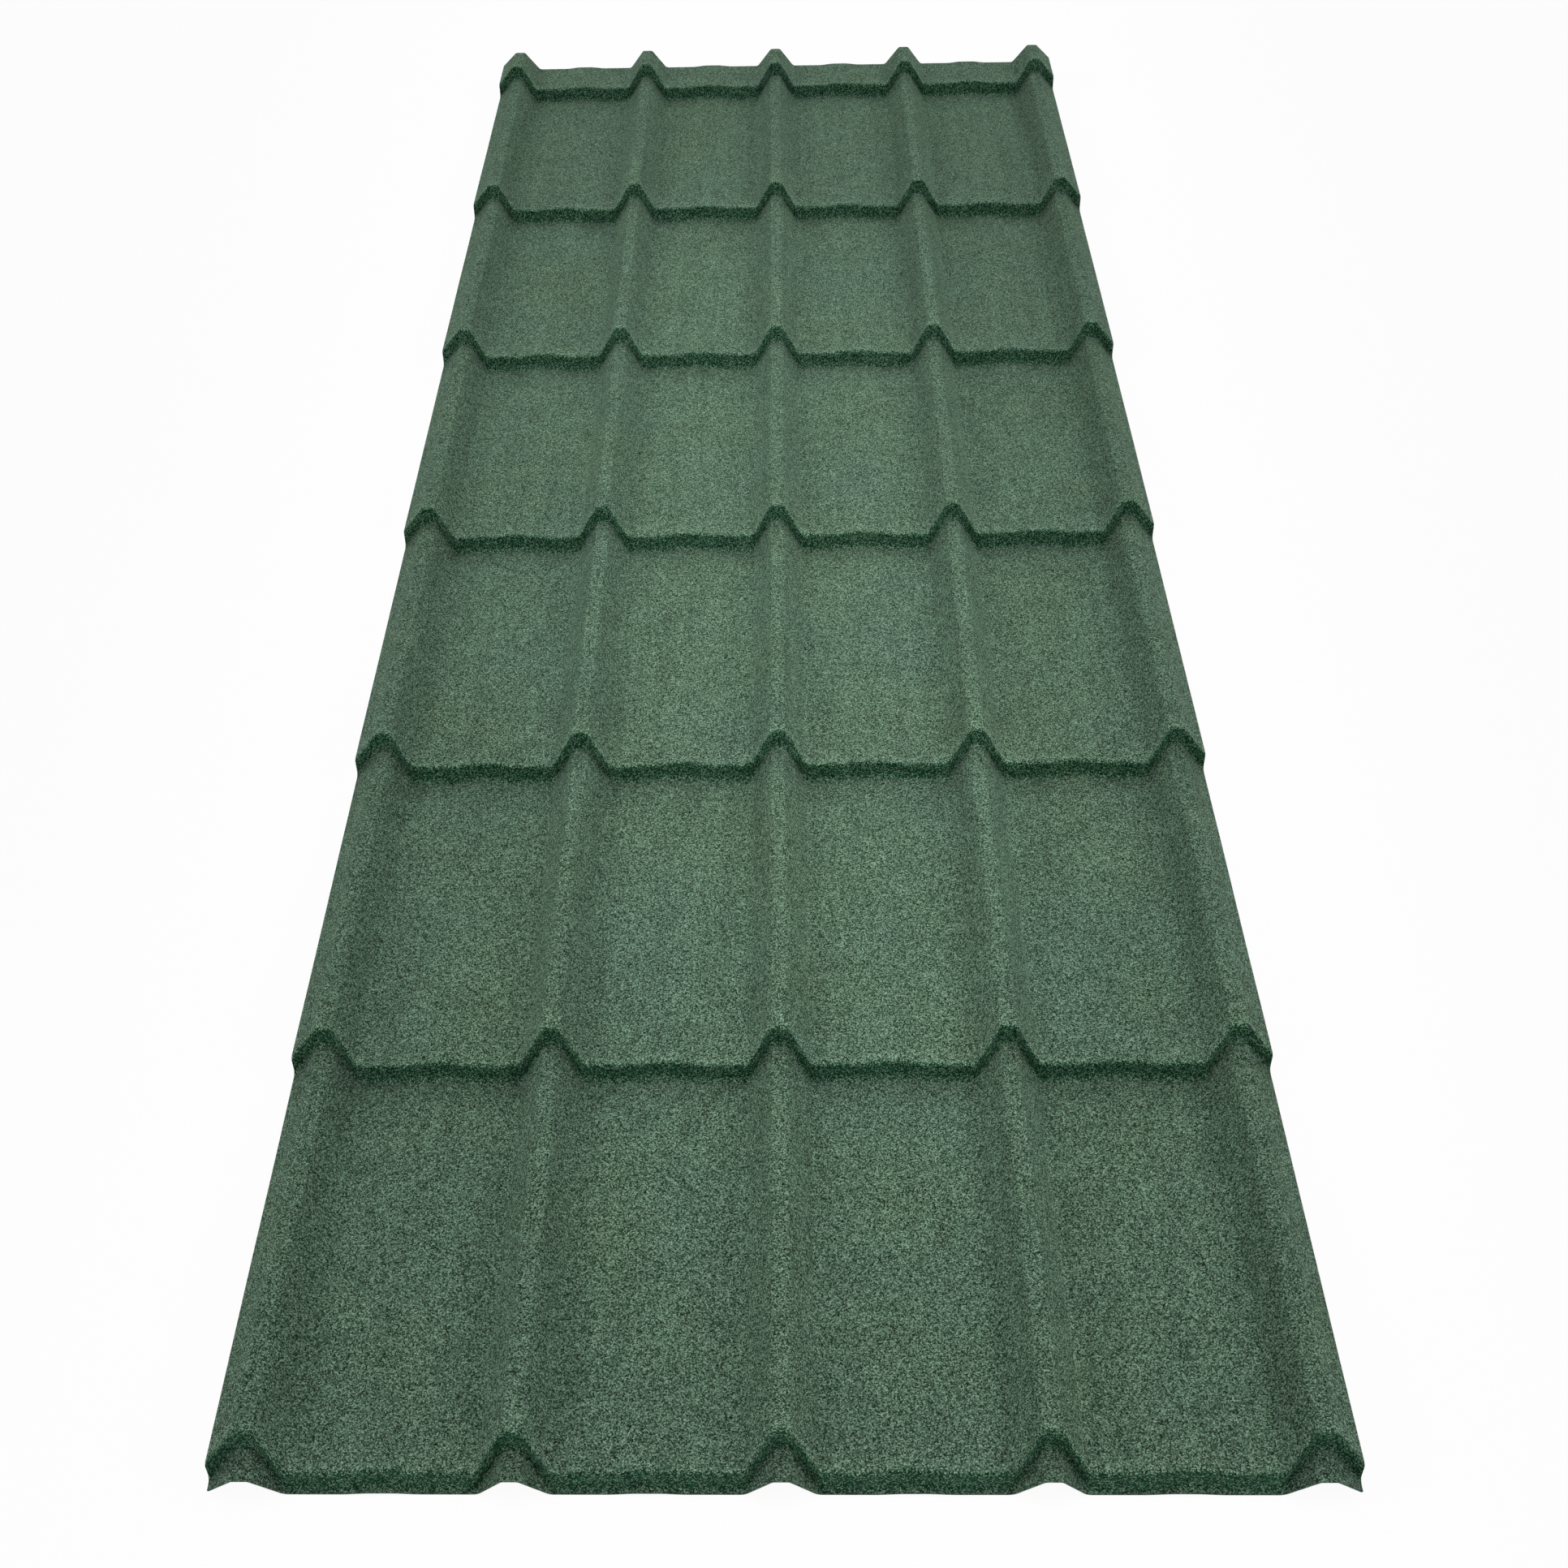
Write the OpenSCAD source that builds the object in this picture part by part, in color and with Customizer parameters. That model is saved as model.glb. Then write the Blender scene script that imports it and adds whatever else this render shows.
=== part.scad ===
// Tile effect roofing sheet: one length of steel, roll formed into ribs and pans, pressed into
// tile courses, sheared square at both ends and coated with stone granules.
// +X runs across the ribs and +Y up the slope to the ridge. The origin is under the middle of the
// sheet, on the level that the feet of its steps stand on.

/* [Sheet] */
// Number of ribs across the sheet
rib_count = 5; // [2:1:8]
// Distance between rib centres
rib_pitch = 200; // [150:5:260]
// Number of whole tile courses between the head strip and the front strip
course_count = 6; // [1:1:9]
// Length of one tile course, from step to step
course_length = 350; // [250:10:450]
// Thickness of the steel with its stone coat
thickness = 2; // [1:0.25:3]

/* [Ribs] */
// Height of a rib above its pans
rib_height = 26; // [18:1:35]
// Width of the flat on top of a rib
rib_top_width = 14; // [10:1:25]
// Run of a rib's slope, from the flat down to the pan
rib_slope_run = 21; // [15:1:30]
// Bend radius along the top of a rib, on the upper skin
rib_top_bend = 5; // [4:0.5:7]
// Bend radius where a rib's slope meets the pan, on the upper skin
rib_foot_bend = 7; // [4:1:16]

/* [Pan swell] */
// Height of the low swell along the middle of each pan
swell_height = 2; // [1:0.25:4]
// Width of the flat on top of the swell
swell_top_width = 22; // [10:2:40]
// Run of the swell's slope
swell_slope_run = 17; // [10:1:24]

/* [Steps] */
// Height of the step at the lower end of each course
step_height = 18; // [12:1:22]
// Run of the step's face, from its foot back to its lip
step_run = 4; // [3:0.5:8]
// How far the step leans back where it passes over the top of a rib
step_lean = 22; // [0:1:30]
// Bend radius of a step's lip, on the upper skin
lip_bend = 4; // [2:0.5:5]
// Bend radius of a step's foot, on the upper skin
foot_bend = 6; // [2:0.5:9]

/* [Edges] */
// Run of the outer slope at each side of the sheet
side_slope_run = 22; // [16:1:28]
// Height above the pans at which that outer slope ends
side_edge_height = 6; // [1:1:12]
// Length of the head strip, from the highest step up to the cut end
head_length = 72; // [50:2:120]
// Length of the front strip, from the foot of the lowest step down to the cut end
front_length = 4; // [3:1:60]

/* [Hidden] */

// Rise of a course's plain stretch for each millimetre towards the step in front of it
course_fall = step_height / (course_length - step_run);
// Length of the sheet along the slope, half its span between the outer ribs and its whole width
sheet_length = course_count * course_length + step_run + head_length + front_length;
half_span = (rib_count - 1) * rib_pitch / 2;
sheet_width = 2 * (half_span + rib_top_width / 2 + side_slope_run);
// Place of the lowest step's foot along the sheet
first_foot = front_length - sheet_length / 2;
// Segments in the bend of a rib edge, a step's lip and a step's foot
rib_segments = 2;
lip_segments = 2;
foot_segments = 2;
// Backward shift of the lower skin, which gives a step's face the sheet's own thickness
step_face = sqrt(step_height ^ 2 + step_run ^ 2);
skin_shift = thickness * (step_face - step_run) / step_height;
// Length that the pressed blank has beyond each cut
trim = step_lean + thickness + 10;

function unit(v) = v / norm(v);

// The bend at point b of an open outline, as an arc between the flats that run to a and to c
function bend(a, b, c, radius, segments) =
    let (
        before = unit(b - a),
        after = unit(c - b),
        turn = acos(before * after),
        cut = radius * tan(turn / 2),
        side = sign(before[0] * after[1] - before[1] * after[0]),
        start = b - before * cut,
        centre = start + radius * side * [-before[1], before[0]]
    )
    [for (step = [0:segments])
        let (angle = side * turn * step / segments, arm = start - centre)
        centre + [
            arm[0] * cos(angle) - arm[1] * sin(angle),
            arm[0] * sin(angle) + arm[1] * cos(angle)
        ]
    ];

// Corners of the section as [across, up, bend radius], with the pans at zero
pan_side = [rib_slope_run, 0, rib_foot_bend];
free_side = [side_slope_run, side_edge_height, 0];

// A rib, whose slopes end in the pans or, at the sheet's sides, in its free edges
function rib_corners(centre, left, right) = [
    [centre - rib_top_width / 2 - left[0], left[1], left[2]],
    [centre - rib_top_width / 2, rib_height, rib_top_bend],
    [centre + rib_top_width / 2, rib_height, rib_top_bend],
    [centre + rib_top_width / 2 + right[0], right[1], right[2]]
];

// The swell of a pan, so low that its corners need no rounding
function swell_corners(centre) = [
    [centre - swell_top_width / 2 - swell_slope_run, 0, 0],
    [centre - swell_top_width / 2, swell_height, 0],
    [centre + swell_top_width / 2, swell_height, 0],
    [centre + swell_top_width / 2 + swell_slope_run, 0, 0]
];

section_corners = [
    for (rib = [0:rib_count - 1])
        let (
            centre = rib * rib_pitch - half_span,
            left = rib == 0 ? free_side : pan_side,
            right = rib == rib_count - 1 ? free_side : pan_side
        )
        each concat(
            rib_corners(centre, left, right),
            rib == rib_count - 1 ? [] : swell_corners(centre + rib_pitch / 2)
        )
];
function corner(i) = [section_corners[i][0], section_corners[i][1]];

// The whole section from the left edge to the right edge, with its rib edges rounded
section = [
    for (i = [0:len(section_corners) - 1])
        let (radius = section_corners[i][2])
        each radius == 0
            ? [corner(i)]
            : bend(corner(i - 1), corner(i), corner(i + 1), radius, rib_segments)
];
section_count = len(section);

// The section's lower skin, the sheet's thickness below its upper skin and square to it
function skin_point(i) =
    let (
        before = unit(section[max(i, 1)] - section[max(i, 1) - 1]),
        after = unit(section[min(i, section_count - 2) + 1] - section[min(i, section_count - 2)]),
        out_before = [before[1], -before[0]],
        out_after = [after[1], -after[0]],
        middle = unit(out_before + out_after)
    )
    section[i] + middle * thickness / (middle * out_before);

lower_section = [for (i = [0:section_count - 1]) skin_point(i)];

// One step seen from the side as [along, up]: the rounded foot, its face and its rounded lip
foot_corner = [0, 0];
lip_corner = [step_run, step_height];
lip_before = lip_corner - [course_length, 0];
foot_after = foot_corner + [course_length, 0];
foot_points = bend(lip_before, foot_corner, lip_corner, foot_bend, foot_segments);
lip_points = bend(foot_corner, lip_corner, foot_after, lip_bend, lip_segments);

// The sheet seen from the side, from below the front cut to above the head cut
head_top = course_count * course_length + step_run + head_length + trim;
stations = concat(
    [[-front_length - trim, (front_length + trim) * course_fall]],
    [
        for (course = [0:course_count], point = concat(foot_points, lip_points))
            [course * course_length + point[0], point[1]]
    ],
    [[head_top, step_height - (head_length + trim) * course_fall]]
);
station_count = len(stations);

// Points of both skins: the section carried along the stations, leaning back with its height.
// The lower skin of the feet lies at zero.
lean = step_lean / rib_height;
pan_level = thickness - foot_points[0][1];
function upper_point(i, j) = [
    section[i][0],
    first_foot + stations[j][0] + lean * section[i][1],
    pan_level + stations[j][1] + section[i][1]
];
function lower_point(i, j) = [
    lower_section[i][0],
    first_foot + stations[j][0] + lean * (lower_section[i][1] + thickness) + skin_shift,
    pan_level + stations[j][1] + lower_section[i][1]
];

// The blank after the press: both skins and the strips of edge that join them
module pressed_blank() {
    skin = section_count * station_count;
    points = concat(
        [for (j = [0:station_count - 1], i = [0:section_count - 1]) upper_point(i, j)],
        [for (j = [0:station_count - 1], i = [0:section_count - 1]) lower_point(i, j)]
    );
    last_i = section_count - 1;
    last_j = station_count - 1;
    function at(i, j) = j * section_count + i;
    upper_faces = [
        for (j = [0:last_j - 1], i = [0:last_i - 1])
            [at(i, j), at(i, j + 1), at(i + 1, j + 1), at(i + 1, j)]
    ];
    lower_faces = [
        for (j = [0:last_j - 1], i = [0:last_i - 1])
            [at(i + 1, j), at(i + 1, j + 1), at(i, j + 1), at(i, j)] + skin * [1, 1, 1, 1]
    ];
    side_faces = [
        for (j = [0:last_j - 1], i = [0, last_i])
            i == 0
                ? [at(i, j) + skin, at(i, j + 1) + skin, at(i, j + 1), at(i, j)]
                : [at(i, j), at(i, j + 1), at(i, j + 1) + skin, at(i, j) + skin]
    ];
    end_faces = [
        for (i = [0:last_i - 1], j = [0, last_j])
            j == 0
                ? [at(i, j), at(i + 1, j), at(i + 1, j) + skin, at(i, j) + skin]
                : [at(i, j) + skin, at(i + 1, j) + skin, at(i + 1, j), at(i, j)]
    ];
    polyhedron(points, concat(upper_faces, lower_faces, side_faces, end_faces), convexity = 10);
}

// The shear's window: what lies between the two square cuts
module sheared_window() {
    window_height = step_height + rib_height + 4 * thickness;
    translate([-sheet_width, -sheet_length / 2, -thickness])
        cube([2 * sheet_width, sheet_length, window_height]);
}

module roofing_sheet() {
    color([0.31, 0.4, 0.34])
        intersection() {
            pressed_blank();
            sheared_window();
        }
}

roofing_sheet();
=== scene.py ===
import math

import bpy
from mathutils import Matrix, Vector, noise


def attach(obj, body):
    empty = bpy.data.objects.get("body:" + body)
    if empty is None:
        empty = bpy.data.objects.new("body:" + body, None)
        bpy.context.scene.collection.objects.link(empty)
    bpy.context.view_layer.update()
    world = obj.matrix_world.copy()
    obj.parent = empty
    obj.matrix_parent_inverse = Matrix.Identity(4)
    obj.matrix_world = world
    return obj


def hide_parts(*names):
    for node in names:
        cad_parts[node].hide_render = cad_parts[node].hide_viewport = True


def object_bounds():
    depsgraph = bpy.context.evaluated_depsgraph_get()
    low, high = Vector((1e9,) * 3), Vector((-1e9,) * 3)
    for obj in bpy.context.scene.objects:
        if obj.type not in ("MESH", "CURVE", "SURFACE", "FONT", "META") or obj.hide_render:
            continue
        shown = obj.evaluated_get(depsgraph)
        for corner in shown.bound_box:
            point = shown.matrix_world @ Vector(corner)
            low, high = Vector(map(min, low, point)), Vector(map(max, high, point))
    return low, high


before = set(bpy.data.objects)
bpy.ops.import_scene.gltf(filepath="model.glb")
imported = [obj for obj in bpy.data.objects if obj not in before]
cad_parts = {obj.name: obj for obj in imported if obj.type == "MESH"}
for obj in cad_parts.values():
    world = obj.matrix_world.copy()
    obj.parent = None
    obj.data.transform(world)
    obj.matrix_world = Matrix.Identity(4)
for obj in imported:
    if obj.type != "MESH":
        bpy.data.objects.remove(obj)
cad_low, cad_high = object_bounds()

# The sheet is one length of steel, roll formed into five ribs and four pans and then pressed into
# tile courses, each a step lower than the one above. Where a step crosses a rib it leans back up
# the slope. Both ends are sheared square, and each side ends in the outer slope of a rib.
RIB_COUNT = 5
RIB_PITCH = 0.2
RIB_HEIGHT = 0.026
RIB_TOP_WIDTH = 0.014
RIB_SLOPE_RUN = 0.021
RIB_TOP_BEND = 0.005
RIB_FOOT_BEND = 0.007
RIB_BEND_PIECES = 4
SWELL_HEIGHT = 0.002
SWELL_TOP_WIDTH = 0.022
SWELL_SLOPE_RUN = 0.017
SWELL_BEND = 0.06
SWELL_BEND_PIECES = 2
SIDE_SLOPE_RUN = 0.022
SIDE_EDGE_HEIGHT = 0.006
COURSE_COUNT = 6
COURSE_LENGTH = 0.35
STEP_HEIGHT = 0.018
STEP_RUN = 0.004
STEP_LEAN = 0.022
LIP_BEND = 0.004
LIP_BEND_PIECES = 4
FOOT_BEND = 0.006
FOOT_BEND_PIECES = 3
FRONT_LENGTH = 0.004
THICKNESS = 0.002
SECTION_SPACING = 0.0075
FRONT_PIECES = 3
COURSE_PIECES = 23
HEAD_PIECES = 7
END_GRADING = 0.8
LIP_WAVER = 0.0009
WAVER_PITCH = 0.045
WAVER_STRIDE = 7.0
PAN_WAVE = 0.0006
WAVE_PITCH = 0.11
STEEL_LEVEL = 0.75
LIP_REACH = 0.005
# Reach of the painted shade in front of each step
FOOT_SHADE_REACH = 0.016
# Share of the lip paling, scuffing and painted highlight, that the pans get
PAN_WEAR_AND_HIGHLIGHT = 0.5
SHARP_ANGLE = 35

half_span = (RIB_COUNT - 1) * RIB_PITCH / 2
course_fall = STEP_HEIGHT / (COURSE_LENGTH - STEP_RUN)
first_foot = cad_low.y + FRONT_LENGTH
lean = STEP_LEAN / RIB_HEIGHT
skin_shift = THICKNESS * (math.hypot(STEP_HEIGHT, STEP_RUN) - STEP_RUN) / STEP_HEIGHT


def bend(before, corner, after, radius, pieces):
    """Points of the arc that rounds a corner between two flats of an outline."""
    into = (corner - before).normalized()
    out = (after - corner).normalized()
    turn = math.acos(into.dot(out))
    side = math.copysign(1, into.x * out.y - into.y * out.x)
    start = corner - into * radius * math.tan(turn / 2)
    centre = start + side * radius * Vector((-into.y, into.x))
    return [
        centre + Matrix.Rotation(side * turn * piece / pieces, 2) @ (start - centre)
        for piece in range(pieces + 1)
    ]


def section_corners():
    """Corners of the sheet's section as (point, bend radius, pieces), with the pans at zero."""
    corners = []
    for rib in range(RIB_COUNT):
        centre = rib * RIB_PITCH - half_span
        pan_side = (RIB_SLOPE_RUN, 0, RIB_FOOT_BEND)
        free_side = (SIDE_SLOPE_RUN, SIDE_EDGE_HEIGHT, 0)
        left = free_side if rib == 0 else pan_side
        right = free_side if rib == RIB_COUNT - 1 else pan_side
        for across, up, radius in (
            (-RIB_TOP_WIDTH / 2 - left[0], left[1], left[2]),
            (-RIB_TOP_WIDTH / 2, RIB_HEIGHT, RIB_TOP_BEND),
            (RIB_TOP_WIDTH / 2, RIB_HEIGHT, RIB_TOP_BEND),
            (RIB_TOP_WIDTH / 2 + right[0], right[1], right[2]),
        ):
            corners.append((Vector((centre + across, up)), radius, RIB_BEND_PIECES))
        if rib == RIB_COUNT - 1:
            break
        middle = centre + RIB_PITCH / 2
        base = SWELL_TOP_WIDTH / 2 + SWELL_SLOPE_RUN
        for across, up in (
            (-base, 0),
            (-SWELL_TOP_WIDTH / 2, SWELL_HEIGHT),
            (SWELL_TOP_WIDTH / 2, SWELL_HEIGHT),
            (base, 0),
        ):
            corners.append((Vector((middle + across, up)), SWELL_BEND, SWELL_BEND_PIECES))
    return corners


def upper_section():
    """The section's upper skin from the left edge to the right one, with its corners rounded."""
    corners = section_corners()
    points = []
    for i, (corner, radius, pieces) in enumerate(corners):
        rounded = [corner]
        if radius:
            rounded = bend(corners[i - 1][0], corner, corners[i + 1][0], radius, pieces)
        if points:
            gap = rounded[0] - points[-1]
            count = math.ceil(gap.length / SECTION_SPACING)
            points += [points[-1] + gap * step / count for step in range(1, count)]
        points += rounded
    return points


def lower_section(points):
    """The section's lower skin, the sheet's thickness from the upper one and square to it."""
    lower = []
    for i, point in enumerate(points):
        into = (points[max(i, 1)] - points[max(i, 1) - 1]).normalized()
        last = min(i, len(points) - 2)
        out = (points[last + 1] - points[last]).normalized()
        square = Vector((into.y + out.y, -into.x - out.x)).normalized()
        lower.append(point + square * THICKNESS / square.dot(Vector((into.y, -into.x))))
    return lower


foot = Vector((0, 0))
lip = Vector((STEP_RUN, STEP_HEIGHT))
step_outline = bend(lip - Vector((COURSE_LENGTH, 0)), foot, lip, FOOT_BEND, FOOT_BEND_PIECES)
step_outline += bend(foot, lip, Vector((COURSE_LENGTH, 0)), LIP_BEND, LIP_BEND_PIECES)
pan_level = cad_low.z + THICKNESS - step_outline[0].y


def graded(start, end, pieces):
    """Points from start to end, closest together near both of them."""
    points = []
    for piece in range(1, pieces + 1):
        turn = 2 * math.pi * piece / pieces
        points.append(start.lerp(end, (turn - END_GRADING * math.sin(turn)) / (2 * math.pi)))
    return points


def course_line(across, back):
    """A line of the sheet from the front cut to the head cut, whose steps lie this far back."""
    steps = []
    for course in range(COURSE_COUNT + 1):
        place = Vector((across / WAVER_PITCH, course * WAVER_STRIDE, 0))
        shift = Vector((first_foot + course * COURSE_LENGTH + back, 0))
        shift.x += LIP_WAVER * noise.noise(place)
        steps.append([point + shift for point in step_outline])
    front = Vector((cad_low.y, steps[0][0].y + (steps[0][0].x - cad_low.y) * course_fall))
    head = Vector((cad_high.y, steps[-1][-1].y - (cad_high.y - steps[-1][-1].x) * course_fall))
    line = [front] + graded(front, steps[0][0], FRONT_PIECES) + steps[0][1:]
    for step in steps[1:]:
        line += graded(line[-1], step[0], COURSE_PIECES) + step[1:]
    return line + graded(line[-1], head, HEAD_PIECES)


def formed(across, along, up):
    """A point of the sheet with the slight waves that rolling leaves, kept inside the CAD box."""
    wave = PAN_WAVE * noise.noise(Vector((across, along, 0)) / WAVE_PITCH)
    point = Vector((across, along, pan_level + up + wave))
    for axis in range(3):
        point[axis] = min(max(point[axis], cad_low[axis]), cad_high[axis])
    return point


section = upper_section()
under = lower_section(section)
upper_skin = [
    [formed(point.x, y, z + point.y) for y, z in course_line(point.x, lean * point.y)]
    for point in section
]
lower_skin = [
    [
        formed(low.x, y, z + low.y)
        for y, z in course_line(high.x, lean * (low.y + THICKNESS) + skin_shift)
    ]
    for high, low in zip(section, under)
]
columns = len(section)
rows = len(upper_skin[0])
skin = columns * rows

# The edge all round the sheet, as (column, row), from the left front corner to the right one
border = [(i, 0) for i in range(columns - 1)]
border += [(columns - 1, j) for j in range(rows - 1)]
border += [(i, rows - 1) for i in range(columns - 1, 0, -1)]
border += [(0, j) for j in range(rows - 1, 0, -1)]

points = [point for line in upper_skin for point in line]
points += [point for line in lower_skin for point in line]
points += [upper_skin[i][j].lerp(lower_skin[i][j], STEEL_LEVEL) for i, j in border]


def lengths(line):
    """How far each point of a line is from its start, along the line."""
    total = [0.0]
    for start, end in zip(line, line[1:]):
        total.append(total[-1] + (end - start).length)
    return total


# The place of each point on the flat blank, before the sheet was formed
across = lengths(section)
blank = [Vector((u, v)) for u, line in zip(across, upper_skin) for v in lengths(line)]
blank += blank
for i, j in border:
    outward = Vector(((i == columns - 1) - (i == 0), (j == rows - 1) - (j == 0)))
    blank.append(blank[i * rows + j] + outward * THICKNESS * STEEL_LEVEL)

faces = []
for i in range(columns - 1):
    for j in range(rows - 1):
        corner = i * rows + j
        faces.append((corner, corner + rows, corner + rows + 1, corner + 1))
for i in range(columns - 1):
    for j in range(rows - 1):
        corner = skin + i * rows + j
        faces.append((corner, corner + 1, corner + rows + 1, corner + rows))
skin_faces = len(faces) // 2
for this, (i, j) in enumerate(border):
    after = (this + 1) % len(border)
    corner = i * rows + j
    following = border[after][0] * rows + border[after][1]
    faces.append((corner, 2 * skin + this, 2 * skin + after, following))
    faces.append((2 * skin + this, skin + corner, skin + following, 2 * skin + after))

sheet_mesh = bpy.data.meshes.new("stone_coated_sheet")
sheet_mesh.from_pydata(points, [], faces)
sheet_mesh.polygons.foreach_set("use_smooth", [True] * len(faces))
sheet_mesh.set_sharp_from_angle(angle=math.radians(SHARP_ANGLE))
developed = sheet_mesh.uv_layers.new(name="developed")
for corner in sheet_mesh.loops:
    developed.uv[corner.index].vector = blank[corner.vertex_index]
coat, back, steel = range(3)
finish_of = [coat] * skin_faces + [back] * skin_faces + [coat, steel] * len(border)
sheet_mesh.polygons.foreach_set("material_index", finish_of)

# How much each point is paled near a lip, by scuffing and a painted highlight, how steep it is
# pressed along the sheet, and how much painted shade falls on it just in front of a step
lip_wear = sheet_mesh.attributes.new("lip_wear", "FLOAT", "POINT")
steepness = sheet_mesh.attributes.new("steepness", "FLOAT", "POINT")
foot_dust = sheet_mesh.attributes.new("foot_dust", "FLOAT", "POINT")
for i, point in enumerate(section):
    # Lip paling: partly scuffing, partly a painted highlight where the lip catches the light
    exposure = PAN_WEAR_AND_HIGHLIGHT + (1 - PAN_WEAR_AND_HIGHLIGHT) * point.y / RIB_HEIGHT
    line = course_line(point.x, lean * point.y)
    for j, (y, z) in enumerate(line):
        along = (y - first_foot - lean * point.y + COURSE_LENGTH / 2) % COURSE_LENGTH
        from_foot = along - COURSE_LENGTH / 2
        past_lip = from_foot - STEP_RUN - LIP_BEND
        stretch = line[min(j + 1, rows - 1)] - line[max(j - 1, 0)]
        index = i * rows + j
        lip_wear.data[index].value = exposure * math.exp(-abs(past_lip) / LIP_REACH)
        steep = max(0, stretch.normalized().y)
        steepness.data[index].value = steep
        # Painted shade in the crease at the foot of each step and just in front of it
        in_shade = math.exp(min(from_foot, 0) / FOOT_SHADE_REACH) if from_foot < STEP_RUN else 0
        foot_dust.data[index].value = (1 - steep) * in_shade

sheet = bpy.data.objects.new("stone_coated_sheet", sheet_mesh)
bpy.context.collection.objects.link(sheet)
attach(sheet, "root")
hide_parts("roofing_sheet")


# The upper face is coated with crushed stone granules, fired green and pressed into a tinted
# binder. They are about a millimetre across and dull, with a few pale and a few dark ones. The
# coat is paled along the lips, partly by scuffing and partly as a painted highlight, and painted
# shade darkens and greens the step faces, all but their pale granules.
GRANULE = 0.0009
GRIT = 0.00055
GRANULE_RELIEF = 0.0006
GRANULE_STOPS = (
    (0.0, (0.001, 0.003, 0.001, 1)),
    (0.2, (0.024, 0.052, 0.030, 1)),
    (0.5, (0.077, 0.138, 0.091, 1)),
    (0.8, (0.157, 0.255, 0.180, 1)),
    (1.0, (0.285, 0.420, 0.315, 1)),
)
COOL_TINT = (0.97, 1.0, 1.08, 1)
WARM_TINT = (1.01, 1.0, 0.88, 1)
# Painted shade on the step faces: its tint, and how it spares the pale granules
STEP_SHADE_TINT = (0.10, 0.55, 0.35, 1)
STEP_SHADE_SHOW = 2.3
STEP_SHADE_HIDE = 2.4
PATCHES = 7.0
STREAKS = 70.0
STREAK_STRETCH = (1, 0.05, 1)
MOTTLE = 30.0
COAT_SHADE = 0.55
STREAK_SHADE = 0.4
MOTTLE_SHADE = 0.4
JOINT_SHADE = 0.5
GRANULE_SHADE = 0.9
# How much the lips pale, part scuffing and part painted highlight
LIP_PALING = 0.25
# How much the painted shade in front of each step darkens
FOOT_SHADE_DARKENING = 0.5
LOWEST_GRANULE = 0.4
GRIT_HEIGHT = 0.35
COAT_ROUGHNESS = 0.76
PALE_ROUGHENING = 0.18
LIP_SMOOTHING = 0.08
COAT_SPECULAR = 0.12


class Link:
    """A shader socket. Sums, differences and products of links add the Math nodes they need."""

    def __init__(self, tree, socket=None):
        self.tree = tree
        self.socket = socket

    def node(self, kind, output, settings, inputs):
        """A new node's output, from its type, its settings and its inputs' values or links."""
        made = self.tree.nodes.new("ShaderNode" + kind)
        for name, setting in settings.items():
            if name == "stops":
                ramp = made.color_ramp.elements
                for _ in setting[2:]:
                    ramp.new(1)
                for element, (position, colour) in zip(ramp, setting):
                    element.position = position
                    element.color = colour
            else:
                setattr(made, name, setting)
        sockets = {socket.identifier: socket for socket in made.inputs}
        for name, value in inputs.items():
            if isinstance(value, Link):
                self.tree.links.new(value.socket, sockets[name])
            else:
                sockets[name].default_value = value
        outputs = {socket.identifier: socket for socket in made.outputs}
        return Link(self.tree, outputs.get(output))

    def beside(self, output):
        """Another output of the same node."""
        return Link(self.tree, self.socket.node.outputs[output])

    def math(self, operation, first, second):
        inputs = {"Value": first, "Value_001": second}
        return self.node("Math", "Value", {"operation": operation}, inputs)

    def __add__(self, other):
        return self.math("ADD", self, other)

    def __radd__(self, other):
        return self.math("ADD", other, self)

    def __sub__(self, other):
        return self.math("SUBTRACT", self, other)

    def __rsub__(self, other):
        return self.math("SUBTRACT", other, self)

    def __mul__(self, other):
        return self.math("MULTIPLY", self, other)

    def __rmul__(self, other):
        return self.math("MULTIPLY", other, self)

    def noise(self, place, scale, detail):
        """Smooth random values about one half, this many waves to the metre."""
        inputs = {"Vector": place, "Scale": scale, "Detail": detail}
        return self.node("TexNoise", "Fac", {}, inputs)

    def scaled(self, factor):
        """This colour or vector times a number."""
        inputs = {"Vector": self, "Scale": factor}
        return self.node("VectorMath", "Vector", {"operation": "SCALE"}, inputs)

    def mixed(self, other, factor, how="MIX"):
        """This colour mixed with another."""
        settings = {"data_type": "RGBA", "blend_type": how}
        inputs = {"Factor_Float": factor, "A_Color": self, "B_Color": other}
        return self.node("Mix", "Result_Color", settings, inputs)

    def seen(self):
        """One where the camera looks, straight or by way of a mirror or glass, and else zero."""
        ray = self.node("LightPath", "Is Camera Ray", {}, {})
        return ray + ray.beside("Is Glossy Ray") + ray.beside("Is Transmission Ray")


def finish(name):
    """An empty material, and a link from which its nodes are made."""
    material = bpy.data.materials.new(name)
    material.use_nodes = True
    material.node_tree.nodes.clear()
    return material, Link(material.node_tree)


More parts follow.
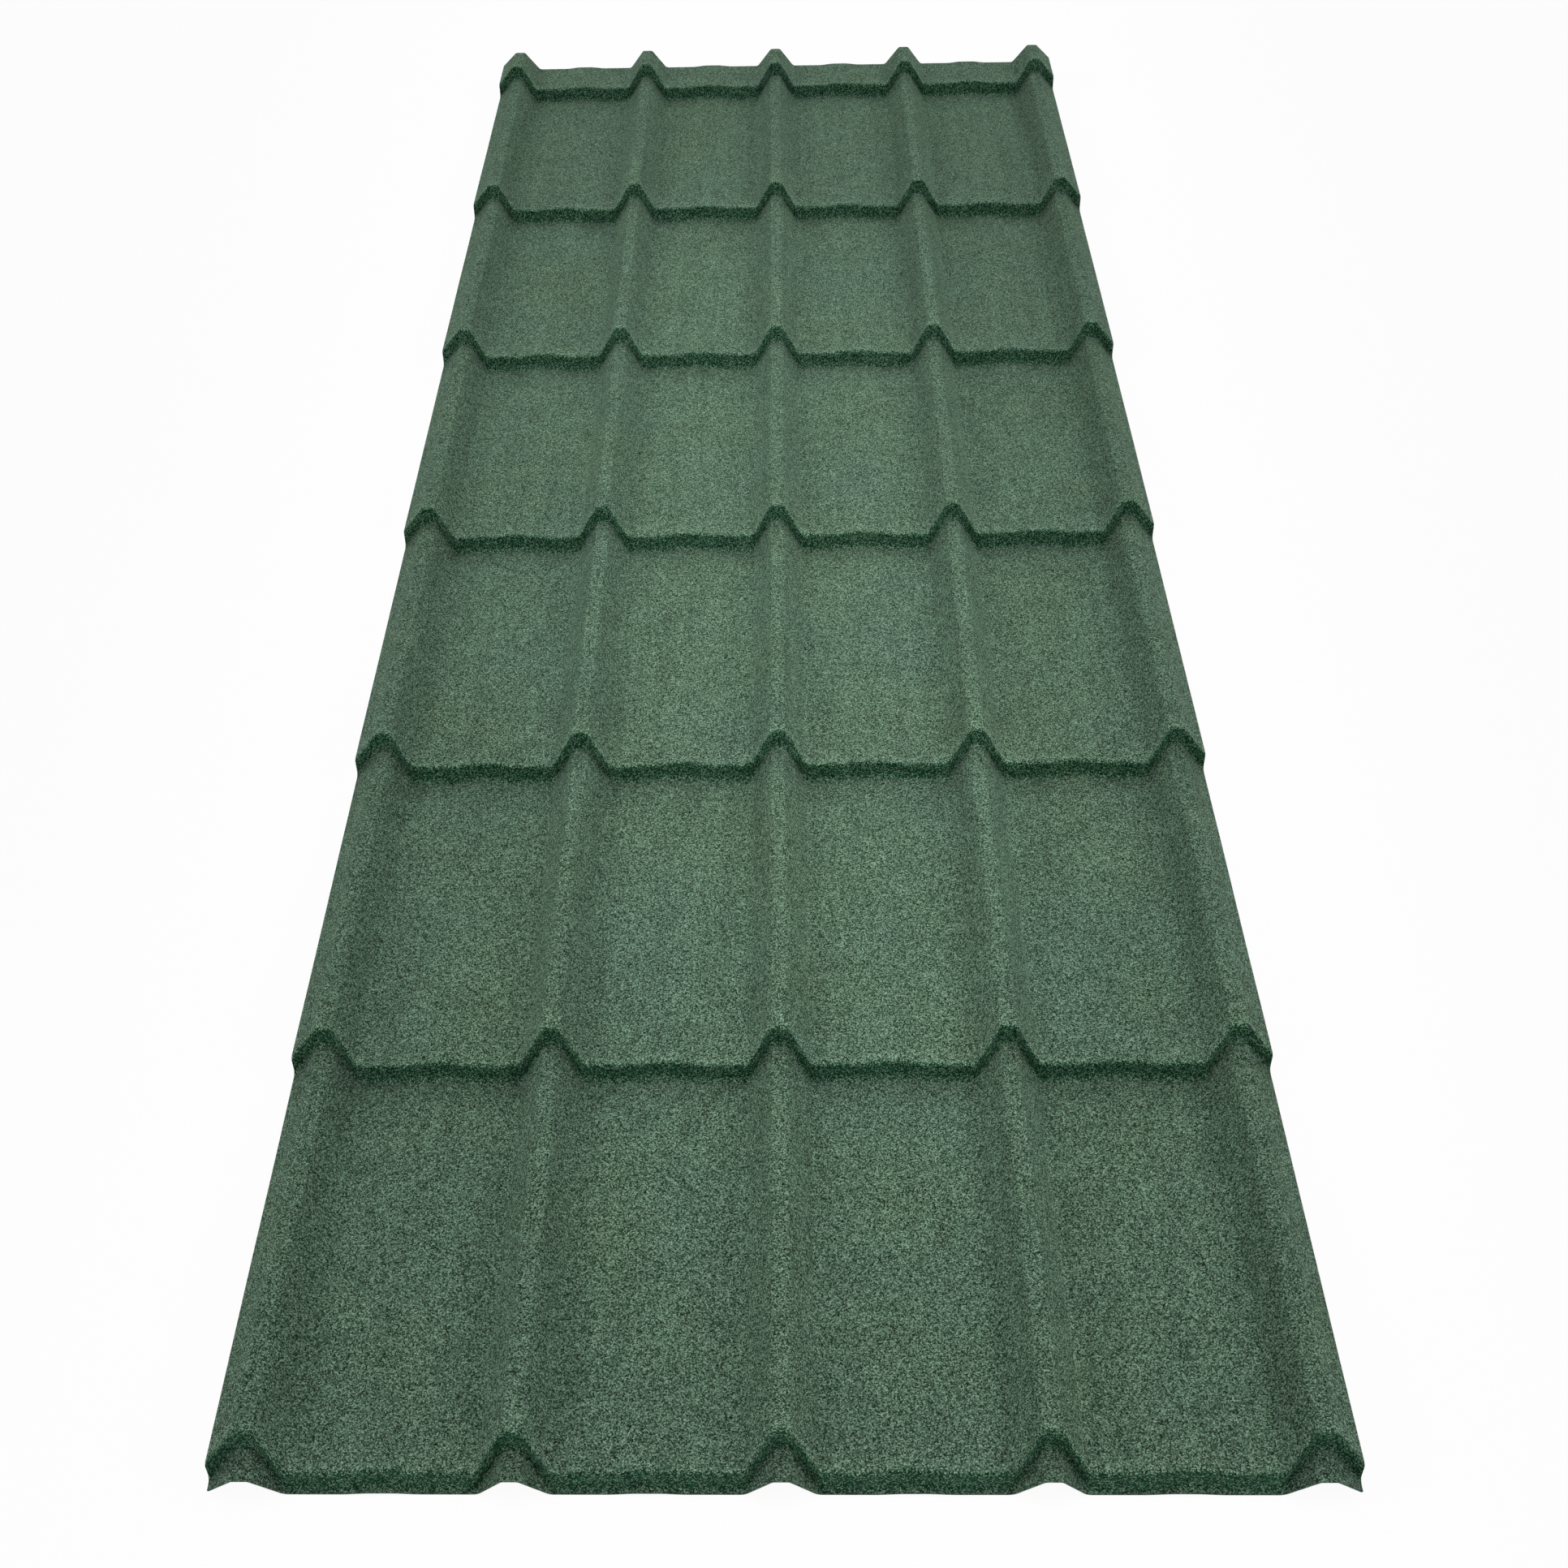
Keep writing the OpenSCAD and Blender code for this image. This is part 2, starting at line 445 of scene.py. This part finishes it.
def stone_coat():
    material, start = finish("stone_granule_coat")
    flat = start.node("UVMap", "UV", {"uv_map": "developed"}, {})

    granule = start.node("TexVoronoi", "Distance", {"voronoi_dimensions": "2D"}, {
        "Vector": flat, "Scale": 1 / GRANULE})
    tone = start.node("SeparateColor", "Red", {}, {"Color": granule.beside("Color")})
    stand = tone.beside("Green")
    grit = start.node("TexVoronoi", "Distance", {"voronoi_dimensions": "2D"}, {
        "Vector": flat, "Scale": 1 / GRIT})

    colour = start.node("ValToRGB", "Color", {"stops": GRANULE_STOPS}, {"Fac": tone})
    patches = start.noise(flat, PATCHES, 3.0)
    tint = start.node("Mix", "Result_Color", {"data_type": "RGBA"}, {
        "Factor_Float": patches, "A_Color": COOL_TINT, "B_Color": WARM_TINT})
    colour = colour.mixed(tint, 1.0, "MULTIPLY")

    stretched = start.node("Mapping", "Vector", {}, {"Vector": flat, "Scale": STREAK_STRETCH})
    streaks = start.noise(stretched, STREAKS, 4.0)
    mottle = start.noise(flat, MOTTLE, 5.0)
    worn_and_lit = start.node("Attribute", "Fac", {"attribute_name": "lip_wear"}, {})
    foot_shade = start.node("Attribute", "Fac", {"attribute_name": "foot_dust"}, {})
    steep = start.node("Attribute", "Fac", {"attribute_name": "steepness"}, {})
    crown = 1 - granule
    shade = COAT_SHADE + STREAK_SHADE * streaks + MOTTLE_SHADE * mottle
    shade = shade * (JOINT_SHADE + GRANULE_SHADE * crown)
    # Paler at the lips, part scuffing and part painted highlight; darker in front of each step,
    # painted shade
    shade = shade * (1 + LIP_PALING * worn_and_lit) * (1 - FOOT_SHADE_DARKENING * foot_shade)
    # Painted shade on the step faces darkens and greens all but the pale granules
    step_shade = steep * (STEP_SHADE_SHOW - STEP_SHADE_HIDE * tone)
    colour = colour.scaled(shade).mixed(STEP_SHADE_TINT, step_shade, "MULTIPLY")

    rise = LOWEST_GRANULE + (1 - LOWEST_GRANULE) * stand
    height = crown * rise + GRIT_HEIGHT * (1 - grit)
    normal = start.node("Bump", "Normal", {}, {
        "Strength": 1.0, "Distance": GRANULE_RELIEF, "Height": height})
    shader = start.node("BsdfPrincipled", "BSDF", {}, {
        "Base Color": colour,
        "Roughness": COAT_ROUGHNESS + PALE_ROUGHENING * tone - LIP_SMOOTHING * worn_and_lit,
        "Normal": normal,
        "Specular IOR Level": COAT_SPECULAR,
    })
    start.node("OutputMaterial", None, {}, {"Surface": shader})
    return material


sheet_mesh.materials.append(stone_coat())


# The underside has a thin smooth coat of grey-green primer over the zinc, put on before the sheet
# is formed. The rolls leave faint lengthwise marks in it.
BACK_DARK = (0.150, 0.170, 0.155, 1)
BACK_LIGHT = (0.215, 0.235, 0.215, 1)
BACK_RELIEF = 0.0001
BACK_ROUGHNESS = 0.42
BACK_UNEVENNESS = 0.2
ROLL_STRETCH = (1, 0.02, 1)
ROLL_MARKS = 160.0
BACK_CLOUDS = 14.0
ORANGE_PEEL = 900.0


def back_coat():
    material, start = finish("primer_back_coat")
    place = start.node("TexCoord", "Object", {}, {})
    stretched = start.node("Mapping", "Vector", {}, {"Vector": place, "Scale": ROLL_STRETCH})
    roll_marks = start.noise(stretched, ROLL_MARKS, 3.0)
    clouds = start.noise(place, BACK_CLOUDS, 4.0)
    colour = start.node("ValToRGB", "Color", {
        "stops": ((0.3, BACK_DARK), (0.7, BACK_LIGHT))}, {"Fac": 0.5 * roll_marks + 0.5 * clouds})
    peel = start.noise(place, ORANGE_PEEL, 2.0)
    normal = start.node("Bump", "Normal", {}, {
        "Strength": 0.6, "Distance": BACK_RELIEF, "Height": 0.5 * roll_marks + 0.5 * peel})
    shader = start.node("BsdfPrincipled", "BSDF", {}, {
        "Base Color": colour,
        "Roughness": BACK_ROUGHNESS + BACK_UNEVENNESS * clouds,
        "Normal": normal,
    })
    start.node("OutputMaterial", None, {}, {"Surface": shader})
    return material


sheet_mesh.materials.append(back_coat())


# The shear leaves the core bare at the ends and the sides: a line of bright steel, dulled by the
# zinc that it drags over the cut.
STEEL_DARK = (0.30, 0.31, 0.32, 1)
STEEL_LIGHT = (0.56, 0.57, 0.58, 1)
DRAG_MARKS = 700.0
STEEL_CLOUDS = 60.0
DRAG_RELIEF = 0.0001
STEEL_METAL = 0.7
STEEL_ROUGHNESS = 0.35
STEEL_UNEVENNESS = 0.25


def cut_steel():
    material, start = finish("sheared_steel")
    place = start.node("TexCoord", "Object", {}, {})
    drag = start.noise(place, DRAG_MARKS, 3.0)
    clouds = start.noise(place, STEEL_CLOUDS, 3.0)
    colour = start.node("ValToRGB", "Color", {
        "stops": ((0.35, STEEL_DARK), (0.65, STEEL_LIGHT))}, {"Fac": 0.6 * drag + 0.4 * clouds})
    normal = start.node("Bump", "Normal", {}, {
        "Strength": 0.5, "Distance": DRAG_RELIEF, "Height": drag})
    shader = start.node("BsdfPrincipled", "BSDF", {}, {
        "Base Color": colour,
        "Metallic": STEEL_METAL + STEEL_UNEVENNESS * clouds,
        "Roughness": STEEL_ROUGHNESS + STEEL_UNEVENNESS * drag,
        "Normal": normal,
    })
    start.node("OutputMaterial", None, {}, {"Surface": shader})
    return material


sheet_mesh.materials.append(cut_steel())


# The sheet lies on a plain pale floor, which is a very large disc just under it. The floor looks
# nearly white to the camera, and still takes the sheet's soft shadow.
FLOOR_RADIUS = 60.0
FLOOR_SIDES = 96
FLOOR_DROP = 0.0002
FLOOR_COLOUR = (0.90, 0.90, 0.90, 1)
FLOOR_BRIGHTENING = 0.95

floor_ring = [
    Matrix.Rotation(2 * math.pi * side / FLOOR_SIDES, 3, "Z") @ Vector((FLOOR_RADIUS, 0, 0))
    + Vector((0, 0, cad_low.z - FLOOR_DROP))
    for side in range(FLOOR_SIDES)
]
floor_mesh = bpy.data.meshes.new("floor")
floor_mesh.from_pydata(floor_ring, [], [tuple(range(FLOOR_SIDES))])
floor = bpy.data.objects.new("floor", floor_mesh)
bpy.context.collection.objects.link(floor)
floor_finish, floor_start = finish("pale_floor")
pale = floor_start.node("BsdfDiffuse", "BSDF", {}, {"Color": FLOOR_COLOUR})
bright = floor_start.node("Emission", "Emission", {}, {"Color": (1, 1, 1, 1), "Strength": 1.0})
floor_start.node("OutputMaterial", None, {}, {
    "Surface": floor_start.node("MixShader", "Shader", {}, {
        "Fac": FLOOR_BRIGHTENING * floor_start.seen(), "Shader": pale, "Shader_001": bright})})
floor_mesh.materials.append(floor_finish)


# The light is a large soft source high behind the sheet and a little to its right, a long soft
# pool down its middle, a long lamp out beyond each side and an even fill from all round.
KEY_ENERGY = 0.95
KEY_SPREAD = 34
KEY_ELEVATION = 75
KEY_SIDE = -14
POOL_POWER = 150.0
POOL_PLACE = (0.012, -0.13, 3.2)
POOL_CONE = 40
POOL_SHAPE = (0.41, 1, 1)
POOL_TURN = 8
POOL_SOFTNESS = 0.23
SIDE_POWER = 2.7
SIDE_SPREAD = 62
SIDE_LENGTH = 3.0
SIDE_WIDTH = 0.5
SIDE_OUT = 1.0
SIDE_ALONG = 0.1
SIDE_HEIGHT = 0.7
FILL = 0.25

key_light = bpy.data.lights.new("key", "SUN")
key_light.energy = KEY_ENERGY
key_light.angle = math.radians(KEY_SPREAD)
key = bpy.data.objects.new("key", key_light)
key.rotation_euler = (math.radians(KEY_ELEVATION - 90), 0, math.radians(KEY_SIDE))
bpy.context.collection.objects.link(key)

pool_light = bpy.data.lights.new("pool", "SPOT")
pool_light.energy = POOL_POWER
pool_light.spot_size = math.radians(POOL_CONE)
pool_light.spot_blend = 1.0
pool_light.shadow_soft_size = POOL_SOFTNESS
pool = bpy.data.objects.new("pool", pool_light)
pool.location = POOL_PLACE
pool.scale = POOL_SHAPE
pool.rotation_euler = (0, 0, math.radians(POOL_TURN))
bpy.context.collection.objects.link(pool)

for side in (-1, 1):
    lamp_light = bpy.data.lights.new("side_lamp", "AREA")
    lamp_light.shape = "RECTANGLE"
    lamp_light.size = SIDE_WIDTH
    lamp_light.size_y = SIDE_LENGTH
    lamp_light.energy = SIDE_POWER
    lamp_light.spread = math.radians(SIDE_SPREAD)
    lamp = bpy.data.objects.new("side_lamp", lamp_light)
    lamp.location = (side * SIDE_OUT, SIDE_ALONG, SIDE_HEIGHT)
    lamp.rotation_euler = (0, side * math.atan2(SIDE_OUT, SIDE_HEIGHT), 0)
    lamp.visible_camera = False
    bpy.context.collection.objects.link(lamp)

world = bpy.data.worlds.new("studio")
world.use_nodes = True
world.node_tree.nodes.clear()
sky = Link(world.node_tree)
white = sky.node("Background", "Background", {}, {"Color": (1, 1, 1, 1), "Strength": 1.0})
fill = sky.node("Background", "Background", {}, {"Color": (1, 1, 1, 1), "Strength": FILL})
sky.node("OutputWorld", None, {}, {
    "Surface": sky.node("MixShader", "Shader", {}, {
        "Fac": sky.seen(), "Shader": fill, "Shader_001": white})})
bpy.context.scene.world = world
bpy.context.scene.view_settings.view_transform = "Standard"


# The camera is held at chest height a short step in front of the sheet. It looks down along the
# sheet to the head, tipped a little to one side as a hand holds it.
CAMERA_PLACE = (0.0065, -1.5116, 1.3035)
CAMERA_TILT = 49.29
CAMERA_YAW = -1.71
CAMERA_ROLL = -1.71
CAMERA_LENS = 38.89
CAMERA_SHIFT = 0.0205
CAMERA_SENSOR = 36
CAMERA_REACH = 200

camera_data = bpy.data.cameras.new("camera")
camera_data.sensor_width = CAMERA_SENSOR
camera_data.lens = CAMERA_LENS
camera_data.shift_x = CAMERA_SHIFT
camera_data.clip_end = CAMERA_REACH
camera = bpy.data.objects.new("camera", camera_data)
turned = Matrix.Rotation(math.radians(-CAMERA_YAW), 4, "Z")
tilted = Matrix.Rotation(math.radians(90 - CAMERA_TILT), 4, "X")
rolled = Matrix.Rotation(math.radians(CAMERA_ROLL), 4, "Z")
camera.matrix_world = Matrix.Translation(CAMERA_PLACE) @ turned @ tilted @ rolled
bpy.context.collection.objects.link(camera)
bpy.context.scene.camera = camera
